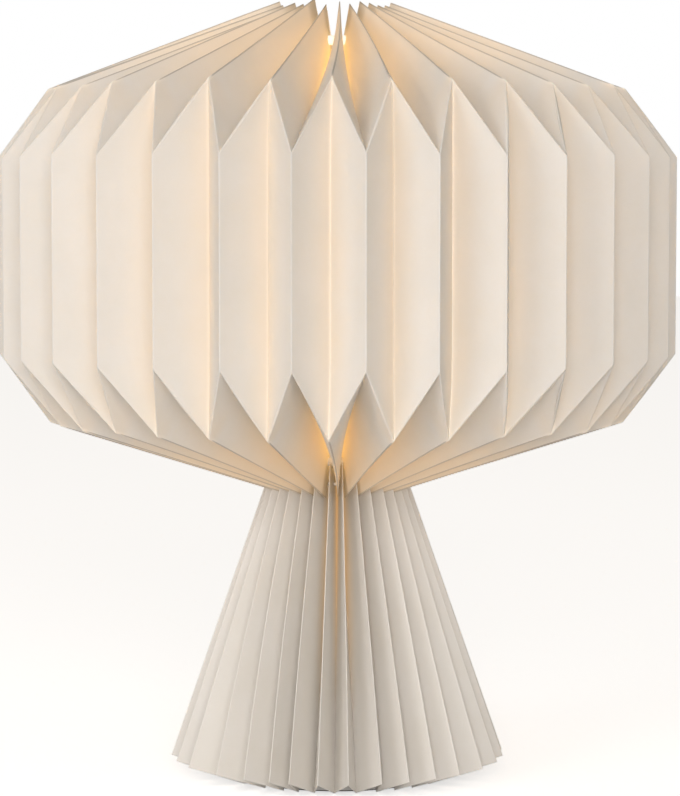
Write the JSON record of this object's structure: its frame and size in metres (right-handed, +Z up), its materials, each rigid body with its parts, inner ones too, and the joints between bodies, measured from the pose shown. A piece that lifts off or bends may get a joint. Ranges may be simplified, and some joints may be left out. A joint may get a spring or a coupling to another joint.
{
  "type": "table lamp",
  "caption": "Table lamp with a folded paper shade that lifts off a conical pleated paper foot, with a bulb that screws into a holder on a steel stem.",
  "frame": {"origin": "on the table, under the middle of the foot", "axes": "+Z up along the stem, +Y to the back, where the mains lead leaves, -Y to the viewer"},
  "size_m": [0.4, 0.4, 0.4563],
  "materials": {
    "shade_paper": "matte warm white",
    "foot_paper": "matte warm white",
    "cord": "twisted cotton",
    "painted_steel": "powder coat",
    "felt": "felt",
    "bush_plastic": "matte",
    "zinc_steel": "zinc plated",
    "holder_plastic": "fine matte",
    "core_ceramic": "unglazed",
    "contact_brass": "bright",
    "bulb_metal": "bright",
    "bulb_plastic": "satin",
    "opal_glass": "opal"
  },
  "bodies": {
    "base": {"pleated_foot": "foot_paper", "foot_tie": "cord", "foot_plate": "painted_steel", "foot_pad": "felt", "cable_inlet": "bush_plastic", "stem": "zinc_steel", "stem_washer": "zinc_steel", "stem_nut": "zinc_steel", "holder_nut": "zinc_steel", "holder_cap": "holder_plastic", "cap_screw": "zinc_steel", "holder_core": "core_ceramic", "terminal_screws": "zinc_steel", "holder_shell": "holder_plastic", "contact_sleeve": "contact_brass", "centre_contact": "contact_brass"},
    "shade": {"pleated_shade": "shade_paper", "shade_upper_tie": "cord", "shade_lower_tie": "cord"},
    "bulb_rise_carrier": {"bulb_tip": "bulb_metal"},
    "bulb": {"bulb_screw_cap": "bulb_metal", "bulb_housing": "bulb_plastic", "bulb_glass": "opal_glass"}
  },
  "joints": [
    {"name": "shade_lift", "type": "slide", "parent": "base", "child": "shade", "axis": [0, 0, 1], "range_m": [0, 0.2]},
    {"name": "bulb_rise", "type": "slide", "parent": "base", "child": "bulb_rise_carrier", "axis": [0, 0, 1], "range_m": [0, 0.0099]},
    {"name": "bulb_turn", "type": "hinge", "parent": "bulb_rise_carrier", "child": "bulb", "pos_m": [0, 0, 0.2428], "axis": [0, 0, 1], "range_deg": [0, 1260]}
  ],
  "couplings": [
    {"joint": "bulb_rise", "follows": "bulb_turn", "m_per_rad": 0.00044882}
  ]
}
